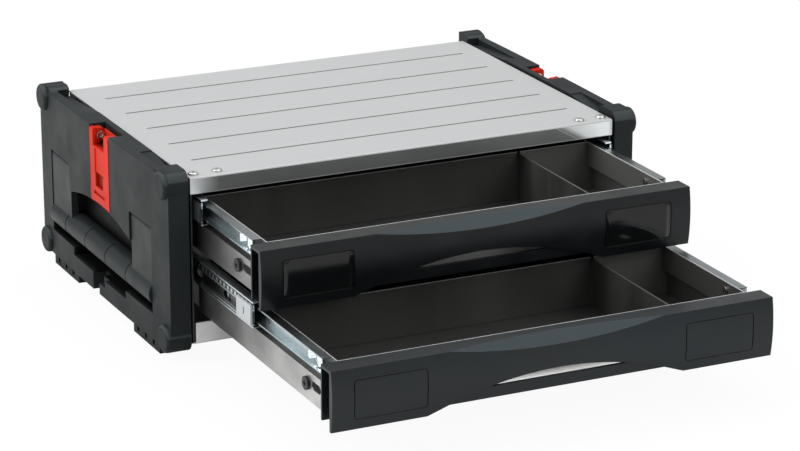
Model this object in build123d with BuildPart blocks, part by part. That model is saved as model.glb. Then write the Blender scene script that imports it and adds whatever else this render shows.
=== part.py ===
from build123d import *
import os

# Two-drawer steel organizer box between two moulded plastic end panels.
# Millimetres.  X points right, Y points back and Z points up.
# The front edge of the top sheet is the working datum in Y and the floor is zero in Z.
# The drawers stand open: the upper one about half way and the lower one fully.

# ---------------------------------------------------------------- overall size
overall_width = 440.0
panel_front_y = -2.0
panel_back_y = 310.0
sheet_depth = 288.0
sheet_top_z = 159.0
sheet_half_width = 196.0
sheet_thickness = 1.5

# ---------------------------------------------------------------- drawers
drawer_travel = 270.0
lower_open = drawer_travel
upper_open = 137.0
upper_rim_z = 138.0
lower_rim_z = 84.0
front_half_width = 193.3
front_height = 49.6
front_depth = 18.6
front_bulge = 2.5
tray_depth = 262.0
tray_height = 44.4
tray_upper_half_width = 179.6
tray_lower_half_width = 186.0
tray_step_drop = 20.3
tray_wall = 1.0

# How far a cutting shape runs past the piece that it cuts
past = 1.0
far_past = 5.0

# The origin lies on the floor under the middle of the box with its drawers open.
open_reach = lower_open + front_bulge
front_y = (open_reach - panel_back_y) / 2


def side_plane(x):
    """Plane across X: its sketch runs along Y from the datum and up in Z."""
    return Plane((x, front_y, 0), x_dir=(0, 1, 0), z_dir=(1, 0, 0))


def front_plane(y):
    """Plane across Y: its sketch runs along X and up in Z, and faces the user."""
    return Plane((0, front_y + y, 0), x_dir=(1, 0, 0), z_dir=(0, -1, 0))


def level_plane(z):
    """Plane across Z: its sketch runs along X and along Y from the datum."""
    return Plane((0, front_y, z), x_dir=(1, 0, 0), z_dir=(0, 0, 1))


def slab(x, y, z, mode=Mode.ADD):
    """Add or cut a rectangular block between pairs of X, Y and Z limits."""
    middle = [(low + high) / 2 for low, high in (x, y, z)]
    size = [abs(high - low) for low, high in (x, y, z)]
    with Locations((middle[0], middle[1] + front_y, middle[2])):
        Box(size[0], size[1], size[2], mode=mode)


def rod(radius, start, end, axis, mode=Mode.ADD):
    """Add or cut a cylinder from start along one axis to the given coordinate."""
    x, y, z = start
    turn = {"x": (0, 90, 0), "y": (90, 0, 0), "z": (0, 0, 0)}[axis]
    here = {"x": x, "y": y, "z": z}[axis]
    centre = {"x": x, "y": y, "z": z}
    centre[axis] = (here + end) / 2
    with Locations((centre["x"], centre["y"] + front_y, centre["z"])):
        Cylinder(radius, abs(end - here), rotation=turn, mode=mode)


def save(builder, name):
    """Label a finished piece and write it to its own file."""
    builder.part.label = name
    export_step(builder.part, "parts/" + name + ".step")


def save_mirrored(builder, name):
    """Write the right-hand twin of a piece made for the left side."""
    with BuildPart() as twin:
        mirror(builder.part, about=Plane.YZ)
    save(twin, name)


os.makedirs("parts", exist_ok=True)

# ================================================================ end panels
panel_inner_x = -198.0
panel_outer_x = -216.0
panel_bow = 2.0
bumper_x = -overall_width / 2
panel_bottom_z = 10.3
panel_top_z = 161.0
panel_corner_radius = 13.0
bumper_radius = 12.0
bumper_proud = 1.0
panel_edge_radius = 3.0
front_block_y = (panel_front_y, 32.0)
back_block_y = (278.0, 301.0)
corner_block_top_z = 165.0
corner_block_radius = 10.0
back_edge_round = 11.0
back_round_y = panel_back_y - bumper_proud - back_edge_round
low_bumper_z = 20.0

pocket_y = ((80.0, 32.0), (206.0, 278.0))
pocket_outer_x = -208.7
pocket_shallow = 0.8
pocket_deep = 5.5
pocket_undercut = 4.0

feet_y = ((29.0, 90.0), (225.0, 287.0))
foot_x = (-214.5, -200.0)
foot_hole_width = 5.0
foot_hole_pitch = 18.0
foot_hole_margin = 12.0
foot_hole_z = (3.2, 7.8)
foot_hole_floor_x = -211.5
drain_gap_y = (163.0, 178.0)
drain_gap_x = -206.0
lifting_step_y = (149.0, 163.0)
lifting_step_z = 20.4
lifting_step_x = -213.5

handle_back_y = 281.0
handle_front_y = 38.5
arm_width = 47.0
arm_top_z = 108.0
arm_face_x = -216.0
arm_thickness = 6.5
arm_top_radius = 3.2
bar_centre_x = -208.2
bar_centre_z = 49.7
bar_radius = 11.6
bar_flat_x = -203.0
bar_groove_shift = 8.0
bar_groove_width = 1.4
bar_groove_depth = 0.9
handle_gap = 0.8
pivot_x = arm_face_x + arm_thickness / 2
pivot_z = arm_top_z - arm_thickness / 2
pivot_radius = 2.0
pivot_play = 0.1
pivot_reach = 5.0

recess_floor_x = -201.5
recess_ledge_z = 64.0
recess_low_y = (99.0, 227.0)
arm_floor_x = -208.6
arch_end_z = 83.0
arch_top_z = 94.0
rail_top_z = 33.5
rail_low_z = 26.5

latch_front_y = 131.0
latch_back_y = 175.0
latch_gap = 0.6
latch_inner_x = -213.0
latch_face_x = -218.4
latch_pivot_x = -211.5
latch_pivot_z = 153.0
latch_barrel = 6.0
latch_bottom_z = 93.8
latch_bottom_arch = 1.0
latch_top_z = 159.5
latch_shoulder_z = 158.0
latch_shoulder_x = -208.0
latch_back_wall_x = (-207.5, -206.0)
latch_back_wall_z = (148.5, 157.5)
latch_foot_drop = 8.0
latch_channel = (141.0, 167.5)
latch_channel_depth = 8.5
latch_screw_radius = 1.8
latch_screw_reach = 7.0
latch_screw_head = (3.6, 3.0)
latch_socket = (2.0, 1.8)
latch_relief = (
    (0.8, (142.0, 164.0), (121.0, 143.0)),
    (2.6, (145.0, 163.0), (109.0, 121.5)),
    (1.4, (142.0, 167.0), (101.2, 104.4)),
)
latch_floor_x = -211.8
latch_well_x = -203.5
latch_well_z = 145.0

boss_radius = 7.0
boss_face_x = -195.5
top_boss_half_width = 8.0
top_boss_z = (144.5, 154.5)
panel_screw_places = [(y, z) for y in (40, 150, 262) for z in (26, 102.5, 150)]


def cut_handle_recess():
    """Cut the pocket for the arms, the bar and the hand out of the left panel."""
    back = handle_back_y + handle_gap
    front = handle_front_y - handle_gap
    hand_back = handle_back_y - arm_width
    hand_front = handle_front_y + arm_width
    arms_z = (rail_top_z, arm_top_z + handle_gap)
    outside = bumper_x - far_past
    slab((outside, arm_floor_x), (front, hand_front + handle_gap), arms_z, Mode.SUBTRACT)
    slab((outside, arm_floor_x), (hand_back - handle_gap, back), arms_z, Mode.SUBTRACT)
    slab((outside, recess_floor_x), (front, back), (rail_top_z, recess_ledge_z), Mode.SUBTRACT)
    slab((outside, recess_floor_x), recess_low_y, (rail_low_z, rail_top_z + past), Mode.SUBTRACT)
    middle = (hand_back + hand_front) / 2
    with BuildSketch(side_plane(recess_floor_x)) as arch:
        with BuildLine():
            Polyline(
                (hand_front, arch_end_z),
                (hand_front, bar_centre_z),
                (hand_back, bar_centre_z),
                (hand_back, arch_end_z),
            )
            ThreePointArc((hand_back, arch_end_z), (middle, arch_top_z), (hand_front, arch_end_z))
        make_face()
    extrude(arch.sketch, amount=outside - recess_floor_x, mode=Mode.SUBTRACT)


def cut_latch_well():
    """Cut the channel for the latch and its open-topped pivot well."""
    sides = (latch_front_y - latch_gap, latch_back_y + latch_gap)
    outside = bumper_x - far_past
    above = panel_top_z + far_past
    slab((outside, latch_floor_x), sides, (latch_bottom_z - far_past, above), Mode.SUBTRACT)
    slab((outside, latch_well_x), sides, (latch_well_z, above), Mode.SUBTRACT)
    for start, reach in ((sides[0], -latch_screw_reach), (sides[1], latch_screw_reach)):
        rod(latch_screw_radius, (latch_pivot_x, start, latch_pivot_z), start + reach, "y", Mode.SUBTRACT)


def cut_top_pockets():
    """Cut the two sloping pockets in the top edge, open inwards and deep under the corner blocks."""
    for shallow_y, deep_y in pocket_y:
        under_y = deep_y + (pocket_undercut if deep_y > shallow_y else -pocket_undercut)
        with BuildSketch(side_plane(pocket_outer_x)) as wedge:
            with BuildLine():
                Polyline(
                    (shallow_y, panel_top_z + past),
                    (shallow_y, panel_top_z - pocket_shallow),
                    (under_y, panel_top_z - pocket_deep),
                    (under_y, panel_top_z + past),
                    close=True,
                )
            make_face()
        extrude(wedge.sketch, amount=panel_inner_x - pocket_outer_x, mode=Mode.SUBTRACT)


def shape_feet():
    """Add the two feet under the panel, each with three square lightening holes."""
    for low_y, high_y in feet_y:
        slab(foot_x, (low_y, high_y), (0, panel_bottom_z + past))
        for step in range(3):
            hole_y = low_y + foot_hole_margin + foot_hole_pitch * step
            hole_sides = (hole_y, hole_y + foot_hole_width)
            slab((bumper_x, foot_hole_floor_x), hole_sides, foot_hole_z, Mode.SUBTRACT)


def round_back_edge():
    """Round the upright inner edge at the back of the panel."""
    start = (panel_inner_x - back_edge_round, back_round_y)
    with BuildSketch(level_plane(0)) as corner:
        with Locations(start):
            Rectangle(far_past + back_edge_round, far_past + back_edge_round, align=(Align.MIN, Align.MIN))
            Circle(back_edge_round, mode=Mode.SUBTRACT)
    extrude(corner.sketch, amount=corner_block_top_z + past, mode=Mode.SUBTRACT)


with BuildPart() as left_panel:
    with BuildSketch(level_plane(panel_bottom_z)):
        with BuildLine():
            near_y = panel_front_y + bumper_proud
            far_y = panel_back_y - bumper_proud
            middle_y = (near_y + far_y) / 2
            outer_far = (panel_outer_x, far_y)
            outer_near = (panel_outer_x, near_y)
            Polyline(outer_near, (panel_inner_x, near_y), (panel_inner_x, far_y), outer_far)
            ThreePointArc(outer_far, (panel_outer_x - panel_bow, middle_y), outer_near)
        make_face()
    extrude(amount=panel_top_z - panel_bottom_z)
    fillet(left_panel.edges().filter_by(Axis.X), radius=panel_corner_radius)
    for low_y, high_y in (front_block_y, back_block_y):
        with BuildSketch(side_plane(panel_inner_x)):
            with Locations(((low_y + high_y) / 2, corner_block_top_z - bumper_radius)):
                RectangleRounded(high_y - low_y, 2 * bumper_radius, corner_block_radius)
        extrude(amount=panel_outer_x - panel_inner_x)
    bumper_y = (panel_front_y + bumper_radius, panel_back_y - bumper_radius)
    bumper_z = (low_bumper_z, corner_block_top_z - bumper_radius)
    with BuildSketch(side_plane(panel_inner_x)):
        with Locations([(y, z) for y in bumper_y for z in bumper_z]):
            Circle(bumper_radius)
    extrude(amount=bumper_x - panel_inner_x)
    fillet(left_panel.edges().group_by(Axis.X)[0], radius=panel_edge_radius)
    round_back_edge()
    cut_handle_recess()
    cut_latch_well()
    cut_top_pockets()
    shape_feet()
    # Drain gap and lifting step in the bottom rail
    slab((bumper_x - past, drain_gap_x), drain_gap_y, (0, rail_top_z + past), Mode.SUBTRACT)
    slab((bumper_x - past, lifting_step_x), lifting_step_y, (lifting_step_z, rail_top_z), Mode.SUBTRACT)
    for place_y in (handle_front_y - pivot_reach, handle_back_y - arm_width - pivot_reach):
        end_y = place_y + arm_width + 2 * pivot_reach
        rod(pivot_radius, (pivot_x, place_y, pivot_z), end_y, "y", Mode.SUBTRACT)
    for screw_y, screw_z in panel_screw_places:
        if screw_z < top_boss_z[0]:
            rod(boss_radius, (panel_inner_x - past, screw_y, screw_z), boss_face_x, "x")
        else:
            boss_y = (screw_y - top_boss_half_width, screw_y + top_boss_half_width)
            slab((panel_inner_x - past, boss_face_x), boss_y, top_boss_z)
save(left_panel, "left_panel")
save_mirrored(left_panel, "right_panel")

# ================================================================ handles
with BuildPart() as left_handle:
    slab(
        (arm_face_x, arm_face_x + arm_thickness),
        (handle_front_y, handle_front_y + arm_width),
        (bar_centre_z, arm_top_z),
    )
    slab(
        (arm_face_x, arm_face_x + arm_thickness),
        (handle_back_y - arm_width, handle_back_y),
        (bar_centre_z, arm_top_z),
    )
    top_edges = left_handle.edges().filter_by(Axis.Y).group_by(Axis.Z)[-1]
    fillet(top_edges, radius=arm_top_radius)
    rod(bar_radius, (bar_centre_x, handle_front_y, bar_centre_z), handle_back_y, "y")
    bar_z = (bar_centre_z - 2 * bar_radius, bar_centre_z + bar_radius)
    along_bar = (handle_front_y - past, handle_back_y + past)
    slab((bar_flat_x, bar_flat_x + bar_radius), along_bar, bar_z, Mode.SUBTRACT)
    # Grooves run round the outer half of the grip
    segment = (handle_back_y - handle_front_y - 2 * arm_width) / 3
    for groove in range(4):
        groove_y = handle_front_y + arm_width + bar_groove_shift + groove * segment
        with BuildSketch(front_plane(groove_y + bar_groove_width / 2)):
            with Locations((bar_centre_x, bar_centre_z)):
                Circle(bar_radius + past)
                Circle(bar_radius - bar_groove_depth, mode=Mode.SUBTRACT)
                inner_half = (bar_radius + past, 2 * (bar_radius + past))
                Rectangle(inner_half[0], inner_half[1], align=(Align.MIN, Align.CENTER), mode=Mode.SUBTRACT)
        extrude(amount=bar_groove_width, mode=Mode.SUBTRACT)
    for place_y in (handle_front_y, handle_back_y - arm_width):
        bore_start = (pivot_x, place_y - past, pivot_z)
        rod(pivot_radius + pivot_play, bore_start, place_y + arm_width + past, "y", Mode.SUBTRACT)
save(left_handle, "left_handle")
save_mirrored(left_handle, "right_handle")

with BuildPart() as left_handle_pins:
    for place_y in (handle_front_y - pivot_reach, handle_back_y - arm_width - pivot_reach):
        rod(pivot_radius, (pivot_x, place_y, pivot_z), place_y + arm_width + 2 * pivot_reach, "y")
save(left_handle_pins, "left_handle_pins")
save_mirrored(left_handle_pins, "right_handle_pins")

# ================================================================ latches
with BuildPart() as left_latch:
    with BuildSketch(side_plane(latch_inner_x)):
        with BuildLine():
            Polyline(
                (latch_front_y, latch_bottom_z),
                (latch_front_y, latch_pivot_z),
                (latch_back_y, latch_pivot_z),
                (latch_back_y, latch_bottom_z),
            )
            # The bottom edge follows the arch of the hand recess
            ThreePointArc(
                (latch_back_y, latch_bottom_z),
                ((latch_front_y + latch_back_y) / 2, latch_bottom_z + latch_bottom_arch),
                (latch_front_y, latch_bottom_z),
            )
        make_face()
    extrude(amount=latch_face_x - latch_inner_x)
    for start_y, end_y in ((latch_front_y, latch_channel[0]), (latch_channel[1], latch_back_y)):
        rod(latch_barrel, (latch_pivot_x, start_y, latch_pivot_z), end_y, "y")
        foot_z = (latch_pivot_z - latch_foot_drop, latch_pivot_z)
        slab((latch_face_x, latch_pivot_x), (start_y, end_y), foot_z)
        # Square shoulder over the barrel
        with BuildSketch(front_plane(start_y)):
            with BuildLine():
                Polyline(
                    (latch_face_x, latch_pivot_z),
                    (latch_face_x, latch_shoulder_z),
                    (latch_face_x + latch_top_z - latch_shoulder_z, latch_top_z),
                    (latch_shoulder_x, latch_shoulder_z),
                    (latch_pivot_x + latch_barrel, latch_pivot_z),
                    close=True,
                )
            make_face()
        extrude(amount=start_y - end_y)
    channel_x = (latch_face_x - past, latch_back_wall_x[0])
    channel_z = (latch_pivot_z - latch_channel_depth, latch_pivot_z + latch_barrel)
    slab(channel_x, latch_channel, channel_z, Mode.SUBTRACT)
    slab(latch_back_wall_x, latch_channel, latch_back_wall_z)
    # Relief of the face: sunk channel, square finger pocket and slot
    for depth, along, upright in latch_relief:
        slab((latch_face_x - past, latch_face_x + depth), along, upright, Mode.SUBTRACT)
    bore_start = (latch_pivot_x, latch_front_y - past, latch_pivot_z)
    rod(latch_screw_radius + pivot_play, bore_start, latch_back_y + past, "y", Mode.SUBTRACT)
save(left_latch, "left_latch")
save_mirrored(left_latch, "right_latch")

with BuildPart() as left_latch_screws:
    reach = latch_gap + latch_screw_reach
    for ear_y, tip_y, away in (
        (latch_channel[1], latch_back_y + reach, -1),
        (latch_channel[0], latch_front_y - reach, 1),
    ):
        under_head = ear_y + away * 0.2
        head_end = under_head + away * latch_screw_head[1]
        rod(latch_screw_radius, (latch_pivot_x, under_head, latch_pivot_z), tip_y, "y")
        rod(latch_screw_head[0], (latch_pivot_x, under_head, latch_pivot_z), head_end, "y")
        with BuildSketch(front_plane(head_end)):
            with Locations((latch_pivot_x, latch_pivot_z)):
                RegularPolygon(latch_socket[0], 6)
        extrude(amount=away * latch_socket[1], mode=Mode.SUBTRACT)
save(left_latch_screws, "left_latch_screws")
save_mirrored(left_latch_screws, "right_latch_screws")

# ================================================================ cabinet sheets
side_sheet_outer_x = -195.5
side_sheet_inner_x = -194.0
flange_inner_x = -160.0
side_sheet_bottom_z = 16.5
bottom_sheet_z = 15.0
top_lip_height = 14.0
bottom_lip_top_z = 33.5
lip_half_width = 193.5
top_return_depth = 7.0
edge_round = sheet_thickness - 0.1
side_sheet_front_y = 2.0
fixing_slot_y = (8.0, 22.0)
fixing_slot_z = (24.0, 46.0, 96.0, 104.0)
fixing_slot_height = 3.0
back_slot = (70.0, 6.0)
back_slot_pitch = (110.0, 54.0)
back_slot_middle_z = 88.0
groove_count = 5
groove_pitch = 50.5
groove_first_y = 46.5
groove_length = 353.0
groove_width = 2.4
groove_depth = 1.0
screw_places = [(x, 9.5) for x in (-189.5, -168.5, 168.5, 189.5)]
sheet_screw_radius = 2.0
sheet_screw_length = 7.0
sheet_screw_head = (4.4, 2.0)
sheet_screw_round = 1.3
screw_play = 0.2
cross_long = 3.6
cross_wide = 0.8
cross_depth = 1.0
panel_screw_radius = 2.0
panel_screw_head = (3.5, 1.6)

with BuildPart() as top_sheet:
    wide = (-sheet_half_width, sheet_half_width)
    under_z = sheet_top_z - sheet_thickness
    lip_bottom_z = sheet_top_z - top_lip_height
    slab(wide, (0, sheet_depth), (under_z, sheet_top_z))
    slab(wide, (0, sheet_thickness), (lip_bottom_z, under_z))
    return_z = (lip_bottom_z, lip_bottom_z + sheet_thickness)
    slab((-lip_half_width, lip_half_width), (0, top_return_depth), return_z)
    front_edge = top_sheet.edges().filter_by(Axis.X).group_by(Axis.Y)[0].group_by(Axis.Z)[-1]
    fillet(front_edge, radius=edge_round)
    with BuildSketch(level_plane(sheet_top_z)):
        with Locations([(0, groove_first_y + k * groove_pitch) for k in range(groove_count)]):
            SlotOverall(groove_length, groove_width)
    extrude(amount=-groove_depth, mode=Mode.SUBTRACT)
    for x, y in screw_places:
        hole_start = (x, y, under_z - past)
        rod(sheet_screw_radius + screw_play, hole_start, sheet_top_z + past, "z", Mode.SUBTRACT)
save(top_sheet, "top_sheet")

with BuildPart() as bottom_sheet:
    slab(wide, (0, sheet_depth), (bottom_sheet_z, bottom_sheet_z + sheet_thickness))
    slab((-lip_half_width, lip_half_width), (0, sheet_thickness), (bottom_sheet_z, bottom_lip_top_z))
    front_edge = bottom_sheet.edges().filter_by(Axis.X).group_by(Axis.Y)[0].group_by(Axis.Z)[0]
    fillet(front_edge, radius=edge_round)
save(bottom_sheet, "bottom_sheet")

with BuildPart() as left_side_sheet:
    upright_z = (side_sheet_bottom_z, sheet_top_z - sheet_thickness)
    sheet_y = (side_sheet_front_y, sheet_depth)
    slab((side_sheet_outer_x, side_sheet_inner_x), sheet_y, upright_z)
    for flange_z in (upright_z[0], upright_z[1] - sheet_thickness):
        slab((side_sheet_outer_x, flange_inner_x), sheet_y, (flange_z, flange_z + sheet_thickness))
    through = (side_sheet_outer_x - past, side_sheet_inner_x + past)
    # Slots of the slide fixings beside the front opening
    for slot_z in fixing_slot_z:
        slab(through, fixing_slot_y, (slot_z, slot_z + fixing_slot_height), Mode.SUBTRACT)
    for screw_y, screw_z in panel_screw_places:
        hole_start = (through[0], screw_y, screw_z)
        rod(panel_screw_radius + screw_play, hole_start, through[1], "x", Mode.SUBTRACT)
    for x, y in screw_places:
        if x < 0:
            hole_start = (x, y, upright_z[1] - 2 * sheet_thickness)
            rod(sheet_screw_radius + screw_play, hole_start, upright_z[1] + past, "z", Mode.SUBTRACT)
save(left_side_sheet, "left_side_sheet")
save_mirrored(left_side_sheet, "right_side_sheet")

with BuildPart() as back_sheet:
    inner_z = (side_sheet_bottom_z + sheet_thickness, sheet_top_z - 2 * sheet_thickness)
    slab((side_sheet_inner_x, -side_sheet_inner_x), (sheet_depth - sheet_thickness, sheet_depth), inner_z)
    with BuildSketch(front_plane(sheet_depth)):
        with GridLocations(back_slot_pitch[0], back_slot_pitch[1], 3, 2):
            with Locations((0, back_slot_middle_z)):
                SlotOverall(back_slot[0], back_slot[1])
    extrude(amount=sheet_thickness, mode=Mode.SUBTRACT)
save(back_sheet, "back_sheet")

with BuildPart() as top_screws:
    head_top_z = sheet_top_z + sheet_screw_head[1]
    for x, y in screw_places:
        rod(sheet_screw_radius, (x, y, sheet_top_z - sheet_screw_length), sheet_top_z, "z")
        rod(sheet_screw_head[0], (x, y, sheet_top_z), head_top_z, "z")
    fillet(top_screws.edges().group_by(Axis.Z)[-1], radius=sheet_screw_round)
    for x, y in screw_places:
        for wide_x, wide_y in ((cross_long, cross_wide), (cross_wide, cross_long)):
            cross_x = (x - wide_x / 2, x + wide_x / 2)
            cross_y = (y - wide_y / 2, y + wide_y / 2)
            slab(cross_x, cross_y, (head_top_z - cross_depth, head_top_z + past), Mode.SUBTRACT)
save(top_screws, "top_screws")

with BuildPart() as panel_screws:
    for screw_y, screw_z in panel_screw_places:
        for side in (-1, 1):
            inner = side * -side_sheet_inner_x
            rod(panel_screw_radius, (inner, screw_y, screw_z), side * -side_sheet_outer_x, "x")
            rod(panel_screw_head[0], (inner, screw_y, screw_z), inner - side * panel_screw_head[1], "x")
save(panel_screws, "panel_screws")

# ================================================================ telescopic slides
# Depths are counted outwards from the tray's upper wall, heights from the slide's middle line.
slide_middle_drop = 7.0
rail_wall = 1.2
drawer_rail = {"web": 0.0, "lips": 7.6, "half_height": 7.0}
middle_rail = {"web": 9.4, "lips": 5.0, "half_height": 11.0}
cabinet_rail = {"web": 13.2, "lips": 7.9, "half_height": 15.0}
cage_wall = 0.6
inner_cage = {"web": 8.3, "lips": 3.4, "half_height": 8.7, "ball_depth": 5.6}
outer_cage = {"web": 11.6, "lips": 7.9, "half_height": 12.7, "ball_depth": 9.7}
ball_radius = 1.1
ball_hole = 1.4
ball_pitch = 9.6
ball_end_margin = 4.0
middle_slot = (16.0, 6.0)
middle_slot_start = 52.0
middle_slot_pitch = 60.0
stop_thickness = 1.8
stop_length = 29.0
stop_half_height = 8.0
# Start, width and half height of the slit in the end stop
stop_slit = (13.0, 2.0, 3.0)
cabinet_rail_y = (21.0, 275.0)
middle_rail_y = (21.0, 221.0)
drawer_rail_y = (29.0, 270.0)
inner_cage_y = (90.5, 167.5)
outer_cage_y = (88.5, 153.5)
# How far each moving piece stands in front of its place in a closed slide
slide_shift = {
    "upper": {"middle": 30.0, "inner_cage": 66.75, "outer_cage": 28.5},
    "lower": {"middle": 135.0, "inner_cage": 202.5, "outer_cage": 67.5},
}


def channel(member, wall, side, middle_z, y):
    """Add a channel: a web across its height and two lips along its edges."""
    base = side * tray_upper_half_width
    half = member["half_height"]
    web = (base + side * member["web"], base + side * (member["web"] + wall))
    lips_end = member["web"] + wall if member["web"] > member["lips"] else member["web"]
    lips = (base + side * member["lips"], base + side * lips_end)
    slab(web, y, (middle_z - half, middle_z + half))
    slab(lips, y, (middle_z - half, middle_z - half + wall))
    slab(lips, y, (middle_z + half - wall, middle_z + half))


def ball_rows(cage, y):
    """List the Y places and height signs of a cage's balls."""
    count = int((y[1] - y[0] - 2 * ball_end_margin) / ball_pitch) + 1
    start = (y[0] + y[1] - (count - 1) * ball_pitch) / 2
    return [(start + k * ball_pitch, sign) for k in range(count) for sign in (-1, 1)]


def make_cage(cage, side, middle_z, y):
    """Make one folded cage strip with a hole for every ball."""
    with BuildPart() as strip:
        channel(cage, cage_wall, side, middle_z, y)
        depth_x = side * (tray_upper_half_width + cage["ball_depth"])
        for ball_y, sign in ball_rows(cage, y):
            edge = middle_z + sign * cage["half_height"]
            hole_start = (depth_x, ball_y, edge - sign * (cage_wall + past))
            rod(ball_hole, hole_start, edge + sign * past, "z", Mode.SUBTRACT)
    return strip


def make_balls(cage, side, middle_z, y):
    """Make the two rows of balls that a cage spaces out."""
    with BuildPart() as balls:
        depth_x = side * (tray_upper_half_width + cage["ball_depth"])
        for ball_y, sign in ball_rows(cage, y):
            ball_z = middle_z + sign * (cage["half_height"] - cage_wall / 2)
            with Locations((depth_x, ball_y + front_y, ball_z)):
                Sphere(ball_radius)
    return balls


def make_slide(drawer, side_name, side, rim_z, opened):
    """Make the pieces of one full-extension slide at the drawer's opening."""
    middle_z = rim_z - slide_middle_drop
    name = drawer + "_" + side_name
    wall_x = side * tray_upper_half_width
    shift = slide_shift[drawer]

    def shifted(limits, forward):
        return (limits[0] - forward, limits[1] - forward)

    with BuildPart() as cabinet_member:
        channel(cabinet_rail, rail_wall, side, middle_z, cabinet_rail_y)
    save(cabinet_member, name + "_cabinet_rail")

    with BuildPart() as middle_member:
        middle_y = shifted(middle_rail_y, shift["middle"])
        channel(middle_rail, rail_wall, side, middle_z, middle_y)
        with BuildSketch(side_plane(wall_x + side * middle_rail["web"])):
            first_y = middle_y[0] + middle_slot_start
            with Locations([(first_y + middle_slot_pitch * k, middle_z) for k in range(3)]):
                SlotOverall(middle_slot[0], middle_slot[1])
        extrude(amount=side * rail_wall, mode=Mode.SUBTRACT)
    save(middle_member, name + "_middle_rail")

    with BuildPart() as drawer_member:
        rail_y = shifted(drawer_rail_y, opened)
        channel(drawer_rail, rail_wall, side, middle_z, rail_y)
        tab_x = (wall_x, wall_x + side * drawer_rail["lips"])
        tab_z = (middle_z - drawer_rail["half_height"], middle_z + drawer_rail["half_height"])
        slab(tab_x, (rail_y[0], rail_y[0] + rail_wall), tab_z)
        for screw_y in slide_screw_y:
            place = (wall_x - side * past, screw_y - opened, middle_z)
            hole_end = wall_x + side * (rail_wall + past)
            rod(small_screw_radius + screw_play, place, hole_end, "x", Mode.SUBTRACT)
    save(drawer_member, name + "_drawer_rail")

    with BuildPart() as end_stop:
        stop_back = middle_rail["web"] + rail_wall
        stop_x = (wall_x + side * stop_back, wall_x + side * (stop_back + stop_thickness))
        stop_y = middle_y[0] + past
        stop_z = (middle_z - stop_half_height, middle_z + stop_half_height)
        slab(stop_x, (stop_y, stop_y + stop_length), stop_z)
        slit_y = (stop_y + stop_slit[0], stop_y + stop_slit[0] + stop_slit[1])
        slab(stop_x, slit_y, (middle_z - stop_slit[2], middle_z + stop_slit[2]), Mode.SUBTRACT)
    save(end_stop, name + "_end_stop")

    cage_y = shifted(inner_cage_y, shift["inner_cage"])
    save(make_cage(inner_cage, side, middle_z, cage_y), name + "_inner_cage")
    save(make_balls(inner_cage, side, middle_z, cage_y), name + "_inner_balls")
    cage_y = shifted(outer_cage_y, shift["outer_cage"])
    save(make_cage(outer_cage, side, middle_z, cage_y), name + "_outer_cage")


# ================================================================ drawers
divider_x = 112.0
divider_thickness = 1.2
cross_divider_y = 150.0
divider_top_drop = 2.0
cross_divider_drop = 0.5
slide_screw_y = (47.0, 165.0, 250.0)
divider_notch = (3.0, 8.0)
divider_hook = 4.0
divider_hook_wall = 1.6
divider_hook_drops = (7.0, 12.0)
divider_play = 0.2
front_screw_places = [(x, drop) for x in (-130, 130) for drop in (12, 32)]
small_screw_radius = 1.5
front_screw_head = (3.2, 1.8)
slide_screw_head = (3.0, 1.6)
slide_screw_length = 2.4
side_screw_y = 59.6
side_screw_drop = 30.5
side_screw_radius = 2.0
side_screw_head = (5.5, 2.6)
side_screw_cross = (5.0, 1.2)
side_slot_y = 43.5
side_slot_drop = 29.5
side_slot = (17.0, 7.0)
face_plate = 3.0
arch_cut_depth = 3.4
back_plate = 2.0
hollow_drop = 12.0
end_hollow_drop = 2.6
back_plate_rise = 4.6
back_opening_drop = 20.0
strip_half_width = 108.0
strip_depth = (2.6, 5.4)
strip_rise = (5.0, 14.2)
arch_half_width = 93.0
arch_foot_half_width = 112.5
arch_foot_rise = 7.2
arch_rise = 22.8
scoop_half_width = 105.0
scoop_drop = 7.0
scoop_back = 9.0
scoop_margin = 4.0
label_x = (113.0, 175.0)
label_drop = (9.5, 41.5)
label_line = 0.7
label_depth = 0.9
label_corner = 3.0


def tray_section(rim_z, inset):
    """Draw the stepped cross-section of a tray, shrunk by the inset on its closed sides."""
    upper = tray_upper_half_width - inset
    lower = tray_lower_half_width - inset
    step_z = rim_z - tray_step_drop - inset
    bottom_z = rim_z - tray_height + inset
    top_z = rim_z + (past if inset else 0)
    Polyline(
        (-upper, top_z),
        (-upper, step_z),
        (-lower, step_z),
        (-lower, bottom_z),
        (lower, bottom_z),
        (lower, step_z),
        (upper, step_z),
        (upper, top_z),
        close=True,
    )


def make_tray(rim_z, opened):
    """Make the folded sheet tray, narrower above where the slides lie."""
    start = front_depth - opened
    with BuildPart() as tray:
        with BuildSketch(front_plane(start)):
            with BuildLine():
                tray_section(rim_z, 0)
            make_face()
        extrude(amount=-tray_depth)
        with BuildSketch(front_plane(start + tray_wall)):
            with BuildLine():
                tray_section(rim_z, tray_wall)
            make_face()
        extrude(amount=-(tray_depth - 2 * tray_wall), mode=Mode.SUBTRACT)
        for side in (-1, 1):
            plate_x = side * tray_lower_half_width
            # Rounded slot and screw hole near the front of each lower wall
            with BuildSketch(side_plane(plate_x)):
                with Locations((side_slot_y - opened, rim_z - side_slot_drop)):
                    SlotOverall(side_slot[0], side_slot[1])
            extrude(amount=-side * 2 * tray_wall, mode=Mode.SUBTRACT)
            place = (plate_x + side * past, side_screw_y - opened, rim_z - side_screw_drop)
            hole_end = plate_x - side * (tray_wall + past)
            rod(side_screw_radius + screw_play, place, hole_end, "x", Mode.SUBTRACT)
            for screw_y in slide_screw_y:
                wall = side * tray_upper_half_width
                place = (wall - side * (tray_wall + past), screw_y - opened, rim_z - slide_middle_drop)
                rod(small_screw_radius + screw_play, place, wall + side * past, "x", Mode.SUBTRACT)
        for x, drop in front_screw_places:
            place = (x, start - past, rim_z - drop)
            rod(small_screw_radius + screw_play, place, start + tray_wall + past, "y", Mode.SUBTRACT)
    return tray


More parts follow.
